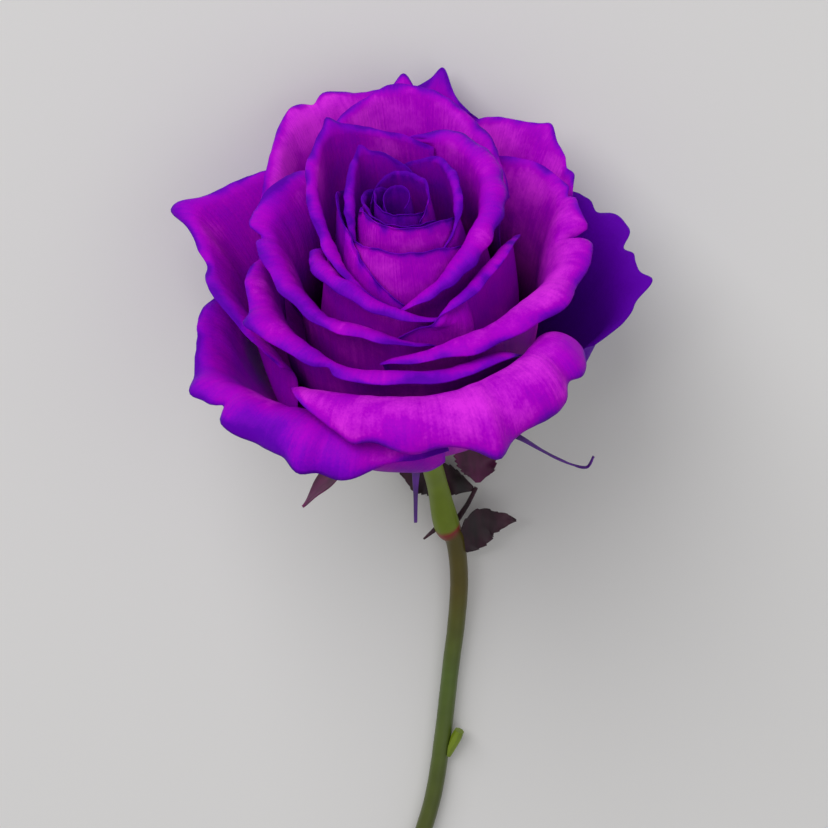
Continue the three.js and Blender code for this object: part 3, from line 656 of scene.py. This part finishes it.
# ---- stem ----
@dataclass(frozen=True)
class Stem:
    """Stem from under the receptacle to its cut end.

    Attributes:
        top: Where it starts on the bloom's axis and where it leaves it, millimetres.
        line: Points beyond, x and y from the receptacle and z above the surface.
        radii: Radius at each point, the two on the axis first.
        node: Which point the leaf node is at.
        points: How many points the swept path has.
        sides: Sides of the section.
        unevenness: Depth of the dents in its skin, millimetres.
        grain: How fine the dents are.
    """

    top: tuple[float, float] = (-13.9, -21)
    line: tuple[tuple[float, float, float], ...] = (
        (1.2, -31, 10.8), (2.2, -42, 7.4), (3.8, -47, 6.2), (3.6, -58, 4.4), (1.6, -70, 3.2),
        (-0.9, -81, 2.6), (-4.6, -98, 2.3), (-9, -115, 2.15), (-14.5, -129, 2.1), (-20, -143, 2.07),
        (-25, -156, 2.07))
    radii: tuple[float, ...] = (2.45, 2.5, 2.5, 3.1, 2.3, 2.15, 2.1, 2.05, 2.05, 2.05, 2.05, 2.05, 2.05)
    node: int = 3
    points: int = 320
    sides: int = 36
    unevenness: float = 0.16
    grain: float = 190.0

    def path(self, seat: Matrix) -> tuple[np.ndarray, np.ndarray]:
        """Points and radii along the stem in the row frame, metres."""
        foot = np.array([seat.translation.x, seat.translation.y, 0])
        start = place(np.array([(0, 0, height) for height in self.top]), seat)
        line = np.vstack([start, np.array(self.line) * MM + foot])
        rows = blend_rows(np.hstack([line, np.array(self.radii)[:, None] * MM]), self.points)
        return rows[:, :3], rows[:, 3]

    def node_share(self, seat: Matrix) -> float:
        """Share of the stem's length from the bloom to the leaf node."""
        points, _ = self.path(seat)
        run = np.concatenate([[0], np.cumsum(np.linalg.norm(np.diff(points, axis=0), axis=1))])
        return float(run[round(self.node / (len(self.radii) - 1) * (self.points - 1))] / run[-1])

    def build(self, seat: Matrix, skin: bpy.types.Material) -> None:
        """Sweep the stem and put it in place of the plain one.

        Args:
            seat: Where the bloom is.
            skin: The stem's finish.
        """
        points, radii = self.path(seat)
        mesh = bpy.data.meshes.new("grown_stem")
        mesh.from_pydata(points.tolist(), [(i, i + 1) for i in range(self.points - 1)], [])
        girth = mesh.attributes.new("girth", "FLOAT", "POINT")
        girth.data.foreach_set("value", radii.astype(np.float32))
        piece = bpy.data.objects.new("grown_stem", mesh)
        bpy.context.scene.collection.objects.link(piece)
        sweep = stem_sweep()
        modifier = piece.modifiers.new("sweep", "NODES")
        modifier.node_group = sweep
        sizes = {"Sides": self.sides, "Unevenness": self.unevenness * MM, "Grain": self.grain, "Skin": skin}
        for socket in sweep.interface.items_tree:
            if socket.in_out == "INPUT" and socket.name in sizes:
                modifier[socket.identifier] = sizes[socket.name]
        view = bpy.context.evaluated_depsgraph_get()
        swept = bpy.data.meshes.new_from_object(piece.evaluated_get(view))
        piece.modifiers.clear()
        piece.data = swept
        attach(piece, "root")
        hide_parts("stem")
        LOG.info("%s: %d faces", piece.name, len(swept.polygons))


def stem_sweep() -> bpy.types.NodeTree:
    """Geometry Nodes tree that sweeps a round, slightly uneven skin along a line of points."""
    tree = bpy.data.node_groups.new("stem sweep", "GeometryNodeTree")
    tree.interface.new_socket("Line", in_out="INPUT", socket_type="NodeSocketGeometry")
    tree.interface.new_socket("Sides", in_out="INPUT", socket_type="NodeSocketInt")
    tree.interface.new_socket("Unevenness", in_out="INPUT", socket_type="NodeSocketFloat")
    tree.interface.new_socket("Grain", in_out="INPUT", socket_type="NodeSocketFloat")
    tree.interface.new_socket("Skin", in_out="INPUT", socket_type="NodeSocketMaterial")
    tree.interface.new_socket("Stem", in_out="OUTPUT", socket_type="NodeSocketGeometry")
    make, link = tree.nodes.new, tree.links.new
    entry, leave = make("NodeGroupInput"), make("NodeGroupOutput")
    curve = make("GeometryNodeMeshToCurve")
    girth = make("GeometryNodeInputNamedAttribute")
    girth.inputs["Name"].default_value = "girth"
    sized = make("GeometryNodeSetCurveRadius")
    share = make("GeometryNodeSplineParameter")
    marked = make("GeometryNodeStoreNamedAttribute")
    marked.inputs["Name"].default_value = "along"
    ring = make("GeometryNodeCurvePrimitiveCircle")
    ring.inputs["Radius"].default_value = 1.0
    skin = make("GeometryNodeCurveToMesh")
    skin.inputs["Fill Caps"].default_value = True
    link(entry.outputs["Line"], curve.inputs["Mesh"])
    link(curve.outputs["Curve"], sized.inputs["Curve"])
    link(girth.outputs["Attribute"], sized.inputs["Radius"])
    link(sized.outputs["Curve"], marked.inputs["Geometry"])
    link(share.outputs["Factor"], marked.inputs["Value"])
    link(entry.outputs["Sides"], ring.inputs["Resolution"])
    link(marked.outputs["Geometry"], skin.inputs["Curve"])
    link(ring.outputs["Curve"], skin.inputs["Profile Curve"])
    link(girth.outputs["Attribute"], skin.inputs["Scale"])
    noise = make("ShaderNodeTexNoise")
    centred = make("ShaderNodeMath")
    centred.operation = "SUBTRACT"
    centred.inputs[1].default_value = 0.5
    height = make("ShaderNodeMath")
    height.operation = "MULTIPLY"
    push = make("ShaderNodeVectorMath")
    push.operation = "SCALE"
    moved = make("GeometryNodeSetPosition")
    link(entry.outputs["Grain"], noise.inputs["Scale"])
    link(noise.outputs[0], centred.inputs[0])
    link(centred.outputs[0], height.inputs[0])
    link(entry.outputs["Unevenness"], height.inputs[1])
    link(make("GeometryNodeInputNormal").outputs["Normal"], push.inputs[0])
    link(height.outputs[0], push.inputs["Scale"])
    link(skin.outputs["Mesh"], moved.inputs["Geometry"])
    link(push.outputs["Vector"], moved.inputs["Offset"])
    smooth = make("GeometryNodeSetShadeSmooth")
    realized = make("GeometryNodeRealizeInstances")
    dressed = make("GeometryNodeSetMaterial")
    link(moved.outputs["Geometry"], smooth.inputs["Geometry"])
    link(smooth.outputs["Geometry"], realized.inputs["Geometry"])
    link(realized.outputs["Geometry"], dressed.inputs["Geometry"])
    link(entry.outputs["Skin"], dressed.inputs["Material"])
    link(dressed.outputs["Geometry"], leave.inputs["Stem"])
    return tree


# ---- finishes ----
Colour = tuple[float, float, float]


@dataclass(frozen=True)
class PetalFinish:
    """Dyed petal: colours from clear magenta to blue violet, linear, darker down in the bloom as painted
    shade, with pink patches of painted highlight.
    """

    # clear magenta end of the dye ramp, lifted to a pink that stands in for highlights: partly painted
    # highlight
    pink_and_painted_highlight: Colour = (0.68, 0.024, 0.74)
    body: Colour = (0.42, 0.0, 0.57)
    violet: Colour = (0.20, 0.0, 0.52)
    deepest: Colour = (0.11, 0.0, 0.40)
    # near-black painted shade, mixed in deep in the bloom
    shade: Colour = (0.008, 0.0, 0.02)
    roughness: float = 0.55

    def material(self) -> bpy.types.Material:
        """Build the petal's material."""
        material, shader = new_material("petal", self.roughness)
        tree = material.node_tree
        run, depth = tree.nodes.new("ShaderNodeAttribute"), tree.nodes.new("ShaderNodeAttribute")
        run.attribute_name = "violet"
        depth.attribute_name = "depth"
        veins = group_node(tree, vein_group(), Across=120.0, Along=5.0, Detail=6.0)
        cells = group_node(tree, vein_group(), Across=260.0, Along=90.0, Detail=2.0)
        # Noise patches pull the colour toward the pink end: painted highlight patches, partly random tone.
        bloom = tree.nodes.new("ShaderNodeTexNoise")
        bloom.inputs["Scale"].default_value = 75.0
        bloom.inputs["Detail"].default_value = 5.0
        bloom.inputs["Roughness"].default_value = 0.62
        where = tree.nodes.new("ShaderNodeTexCoord")
        tree.links.new(where.outputs["Object"], bloom.inputs["Vector"])
        mix = math_node(tree, "MULTIPLY_ADD", veins.outputs["Vein"], 0.30, run.outputs["Fac"])
        mix = math_node(tree, "MULTIPLY_ADD", cells.outputs["Vein"], 0.22, mix)
        mix = math_node(tree, "MULTIPLY_ADD", bloom.outputs["Fac"], -0.95, mix)
        mix = math_node(tree, "ADD", mix, 0.50)
        ramp = tree.nodes.new("ShaderNodeValToRGB")
        fill_ramp(ramp, ((0.16, self.pink_and_painted_highlight), (0.38, self.body), (0.72, self.violet), (1.0, self.deepest)))
        tree.links.new(mix, ramp.inputs["Fac"])
        # Painted shade: the depth mask mixes the colour toward near black deep in the bloom.
        painted_shade_mix = tree.nodes.new("ShaderNodeMix")
        painted_shade_mix.data_type = "RGBA"
        tree.links.new(depth.outputs["Fac"], painted_shade_mix.inputs[0])
        tree.links.new(ramp.outputs["Color"], painted_shade_mix.inputs[6])
        painted_shade_mix.inputs[7].default_value = (*self.shade, 1)
        tree.links.new(painted_shade_mix.outputs[2], shader.inputs["Base Color"])
        bump = tree.nodes.new("ShaderNodeBump")
        bump.inputs["Strength"].default_value = 0.5
        bump.inputs["Distance"].default_value = 0.0003
        tree.links.new(math_node(tree, "MULTIPLY_ADD", cells.outputs["Vein"], 0.5, veins.outputs["Vein"]),
                       bump.inputs["Height"])
        tree.links.new(bump.outputs["Normal"], shader.inputs["Normal"])
        shader.inputs["Specular IOR Level"].default_value = 0.07
        shader.inputs["Specular Tint"].default_value = (1.0, 0.4, 1.0, 1)
        return material


@dataclass(frozen=True)
class StemFinish:
    """Stem skin: colours along its length, linear, mottled.

    Attributes:
        node: Share of the length at which the leaf node's red ring is.
        roughness: Of the skin.
    """

    node: float
    peduncle: Colour = (0.21, 0.30, 0.004)
    ring: Colour = (0.34, 0.012, 0.02)
    brown: Colour = (0.11, 0.085, 0.004)
    green: Colour = (0.10, 0.16, 0.02)
    cut: Colour = (0.085, 0.08, 0.008)
    roughness: float = 0.4

    def material(self) -> bpy.types.Material:
        """Build the stem's material."""
        material, shader = new_material("stem_skin", self.roughness)
        tree = material.node_tree
        along = tree.nodes.new("ShaderNodeAttribute")
        along.attribute_name = "along"
        mottle = tree.nodes.new("ShaderNodeTexNoise")
        mottle.inputs["Scale"].default_value = 160.0
        mottle.inputs["Detail"].default_value = 4.0
        where = tree.nodes.new("ShaderNodeTexCoord")
        tree.links.new(where.outputs["Object"], mottle.inputs["Vector"])
        share = math_node(tree, "MULTIPLY_ADD", mottle.outputs["Fac"], 0.012, along.outputs["Fac"])
        share = math_node(tree, "SUBTRACT", share, 0.006)
        ramp = tree.nodes.new("ShaderNodeValToRGB")
        fill_ramp(ramp, ((self.node - 0.02, self.peduncle), (self.node - 0.002, self.peduncle),
                         (self.node + 0.006, self.ring), (self.node + 0.022, self.brown),
                         (self.node + 0.12, self.brown), (self.node + 0.27, self.green), (1.0, self.cut)))
        tree.links.new(share, ramp.inputs["Fac"])
        dim = tree.nodes.new("ShaderNodeMix")
        dim.data_type = "RGBA"
        dim.blend_type = "MULTIPLY"
        dim.inputs[0].default_value = 0.45
        tree.links.new(ramp.outputs["Color"], dim.inputs[6])
        tree.links.new(mottle.outputs["Fac"], dim.inputs[7])
        tree.links.new(dim.outputs[2], shader.inputs["Base Color"])
        return material


@dataclass(frozen=True)
class PlainFinish:
    """Green or maroon skin: two linear colours mottled along the piece."""

    name: str
    light: Colour
    dark: Colour
    roughness: float = 0.5
    grain: float = 220.0

    def material(self) -> bpy.types.Material:
        """Build the skin's material."""
        material, shader = new_material(self.name, self.roughness)
        tree = material.node_tree
        where = tree.nodes.new("ShaderNodeTexCoord")
        stretch = tree.nodes.new("ShaderNodeMapping")
        stretch.inputs["Scale"].default_value = (1, 0.25, 1)
        noise = tree.nodes.new("ShaderNodeTexNoise")
        noise.inputs["Scale"].default_value = self.grain
        noise.inputs["Detail"].default_value = 4
        tree.links.new(where.outputs["Object"], stretch.inputs["Vector"])
        tree.links.new(stretch.outputs["Vector"], noise.inputs["Vector"])
        ramp = tree.nodes.new("ShaderNodeValToRGB")
        fill_ramp(ramp, ((0.3, self.dark), (0.65, self.light)))
        tree.links.new(noise.outputs["Fac"], ramp.inputs["Fac"])
        tree.links.new(ramp.outputs["Color"], shader.inputs["Base Color"])
        return material


@dataclass(frozen=True)
class Finishes:
    """The rose's materials."""

    petal: bpy.types.Material
    stem: bpy.types.Material
    green: bpy.types.Material
    skins: dict[Skin, bpy.types.Material]


def new_material(name: str, roughness: float) -> tuple[bpy.types.Material, bpy.types.Node]:
    """Material with a Principled BSDF of the given roughness."""
    material = bpy.data.materials.new(name)
    material.use_nodes = True
    shader = material.node_tree.nodes["Principled BSDF"]
    shader.inputs["Roughness"].default_value = roughness
    return material, shader


def math_node(tree: bpy.types.NodeTree, operation: str, *values: object) -> bpy.types.NodeSocket:
    """Add a Math node whose inputs are sockets or numbers, and return its output."""
    node = tree.nodes.new("ShaderNodeMath")
    node.operation = operation
    for socket, value in zip(node.inputs, values):
        if isinstance(value, bpy.types.NodeSocket):
            tree.links.new(value, socket)
        else:
            socket.default_value = value
    return node.outputs[0]


def fill_ramp(ramp: bpy.types.Node, stops: tuple[tuple[float, Colour], ...]) -> None:
    """Set a colour ramp's stops."""
    elements = ramp.color_ramp.elements
    while len(elements) < len(stops):
        elements.new(0.5)
    for element, (position, colour) in zip(elements, stops):
        element.position = position
        element.color = (*colour, 1)


def vein_group() -> bpy.types.NodeTree:
    """Shared effect: fine lengthwise veins over a piece's own UV map."""
    if "lengthwise veins" in bpy.data.node_groups:
        return bpy.data.node_groups["lengthwise veins"]
    tree = bpy.data.node_groups.new("lengthwise veins", "ShaderNodeTree")
    for label, value in (("Across", 90.0), ("Along", 5.0), ("Detail", 4.0)):
        tree.interface.new_socket(label, in_out="INPUT", socket_type="NodeSocketFloat").default_value = value
    tree.interface.new_socket("Vein", in_out="OUTPUT", socket_type="NodeSocketFloat")
    entry = tree.nodes.new("NodeGroupInput")
    leave = tree.nodes.new("NodeGroupOutput")
    uv = tree.nodes.new("ShaderNodeTexCoord")
    scale = tree.nodes.new("ShaderNodeCombineXYZ")
    tree.links.new(entry.outputs["Across"], scale.inputs["X"])
    tree.links.new(entry.outputs["Along"], scale.inputs["Y"])
    stretch = tree.nodes.new("ShaderNodeVectorMath")
    stretch.operation = "MULTIPLY"
    tree.links.new(uv.outputs["UV"], stretch.inputs[0])
    tree.links.new(scale.outputs["Vector"], stretch.inputs[1])
    noise = tree.nodes.new("ShaderNodeTexNoise")
    noise.inputs["Scale"].default_value = 1.0
    tree.links.new(stretch.outputs["Vector"], noise.inputs["Vector"])
    tree.links.new(entry.outputs["Detail"], noise.inputs["Detail"])
    tree.links.new(noise.outputs["Fac"], leave.inputs["Vein"])
    return tree


def group_node(tree: bpy.types.NodeTree, group: bpy.types.NodeTree, **values: float) -> bpy.types.Node:
    """Place a shader group with its own values."""
    node = tree.nodes.new("ShaderNodeGroup")
    node.node_tree = group
    for label, value in values.items():
        node.inputs[label].default_value = value
    return node


# ---- studio ----
@dataclass(frozen=True)
class Studio:
    """Pale floor, soft light and the camera, placed from the middle of the receptacle.

    Attributes:
        rise: Angle of the camera over the surface, degrees.
        roll: How far the bloom's axis leans to the left, degrees.
        distance: From the point looked at to the lens, metres.
        lens: Focal length on a 36 mm sensor.
        aim: Point looked at, to the right of and above the receptacle, metres.
        room: Strength of the light from all round.
        room_colour: Its colour, linear.
        floor_colour: Of the surface, linear.
        floor_reach: Half its width, metres.
    """

    rise: float = 70.0
    roll: float = 7.0
    distance: float = 0.8
    lens: float = 152.6
    aim: tuple[float, float] = (-0.00154, -0.00616)
    room: float = 0.40
    room_colour: Colour = (0.9, 0.9, 0.9)
    floor_colour: Colour = (0.76, 0.752, 0.745)
    floor_reach: float = 3.0

    def axes(self) -> tuple[Vector, Vector, Vector]:
        """Right, up and toward-the-camera directions."""
        rise, roll = math.radians(self.rise), math.radians(self.roll)
        toward = Vector((0, math.cos(rise), math.sin(rise)))
        up = Vector((0, math.sin(rise), -math.cos(rise)))
        right = Vector((1, 0, 0))
        leaning_right = right * math.cos(roll) - up * math.sin(roll)
        leaning_up = up * math.cos(roll) + right * math.sin(roll)
        return leaning_right, leaning_up, toward

    def build(self, middle: Vector) -> None:
        """Make the camera, the lights and the floor.

        Args:
            middle: Middle of the receptacle.
        """
        right, up, toward = self.axes()
        target = middle + right * self.aim[0] + up * self.aim[1]
        camera = bpy.data.objects.new("camera", bpy.data.cameras.new("camera"))
        camera.data.lens = self.lens
        camera.data.clip_start = 0.01
        turn = Matrix((right, up, toward)).transposed()
        camera.matrix_world = Matrix.Translation(target + toward * self.distance) @ turn.to_4x4()
        bpy.context.scene.collection.objects.link(camera)
        bpy.context.scene.camera = camera
        self.light("key", target + toward * 2.2 + up * 1.1 - right * 0.9, target, 2.0, 47.0)
        self.light("fill", target + toward * 2.4 - up * 0.9 + right * 0.9, target, 2.4, 9.0)
        world = bpy.data.worlds.new("room")
        world.use_nodes = True
        background = world.node_tree.nodes["Background"]
        background.inputs["Color"].default_value = (*self.room_colour, 1)
        background.inputs["Strength"].default_value = self.room
        bpy.context.scene.world = world
        bpy.context.scene.view_settings.view_transform = "Standard"
        self.floor()

    def light(self, name: str, where: Vector, target: Vector, size: float, power: float) -> None:
        """Add one soft area light."""
        data = bpy.data.lights.new(name, "AREA")
        data.size = size
        data.energy = power
        lamp = bpy.data.objects.new(name, data)
        turn = (where - target).to_track_quat("Z", "Y").to_matrix()
        lamp.matrix_world = Matrix.Translation(where) @ turn.to_4x4()
        bpy.context.scene.collection.objects.link(lamp)

    def floor(self) -> None:
        """Add the pale surface the rose lies on."""
        mesh = bpy.data.meshes.new("floor")
        reach = self.floor_reach
        corners = [(-reach, -reach, 0), (reach, -reach, 0), (reach, reach, 0), (-reach, reach, 0)]
        mesh.from_pydata(corners, [], [(0, 1, 2, 3)])
        floor = bpy.data.objects.new("floor", mesh)
        bpy.context.scene.collection.objects.link(floor)
        material, shader = new_material("floor", 0.9)
        shader.inputs["Base Color"].default_value = (*self.floor_colour, 1)
        mesh.materials.append(material)


# ---- the whole rose ----
RECEPTACLE_PROFILE = ((0, 1.3), (1.8, 1.2), (6.9, -2.35), (7.3, -3), (7.3, -3.8), (6.9, -6.2), (5.4, -9.6),
                      (3.4, -12.4), (2.5, -13.6), (0, -13.6))


def bloom_seat() -> Matrix:
    """Where the bloom's frame lies, worked out from the receptacle's box."""
    low, high = (Vector(corner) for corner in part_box("receptacle"))
    sine, cosine = math.sin(AXIS_ELEVATION), math.cos(AXIS_ELEVATION)
    furthest = max(sine * r + cosine * z for r, z in RECEPTACLE_PROFILE) * MM
    lowest = min(sine * z - cosine * r for r, z in RECEPTACLE_PROFILE) * MM
    middle = Vector(((low.x + high.x) / 2, high.y - furthest, low.z - lowest))
    return Matrix.Translation(middle) @ Matrix.Rotation(AXIS_ELEVATION - math.pi / 2, 4, "X")


GREEN_COLOURS: tuple[Colour, Colour] = ((0.20, 0.28, 0.01), (0.12, 0.18, 0.008))
SKIN_COLOURS: dict[Skin, tuple[Colour, Colour]] = {
    Skin.VIOLET: ((0.13, 0.0, 0.36), (0.05, 0.0, 0.16)),
    Skin.MAROON: ((0.16, 0.0, 0.09), (0.02, 0.0, 0.014)),
    Skin.DARK: ((0.05, 0.002, 0.022), (0.008, 0.001, 0.005)),
}


def main() -> None:
    """Build the rose, its finishes and the studio."""
    logging.basicConfig(level=logging.INFO, format="%(name)s: %(message)s")
    seat = bloom_seat()
    stem = Stem()
    finishes = Finishes(
        petal=PetalFinish().material(),
        stem=StemFinish(stem.node_share(seat)).material(),
        green=PlainFinish("green_skin", *GREEN_COLOURS, 0.4).material(),
        skins={skin: PlainFinish(skin.value, *colours).material()
               for skin, colours in SKIN_COLOURS.items()},
    )
    Bloom(seat).build(finishes)
    for order, sepal in enumerate(SEPALS):
        grid, share = sepal.shape(order)
        leaf_object(sepal, place(grid, seat), share, finishes.skins[sepal.skin])
    foot = np.array([seat.translation.x, seat.translation.y, 0]) + np.array(LEAF_AT) * MM
    for order, leaflet in enumerate(LEAFLETS):
        grid, share = leaflet.shape(order + len(SEPALS))
        leaf_object(leaflet, grid * MM + foot, share, finishes.skins[leaflet.skin])
    stem.build(seat, finishes.stem)
    dark = finishes.skins[Skin.DARK]
    for node, material in (("receptacle", finishes.green), ("stem_bud", finishes.green),
                           ("leaf_petiole", dark), ("stipule_spur", dark)):
        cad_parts[node].data.materials[0] = material
    Studio().build(seat.translation)


if __name__ == "__main__":
    main()
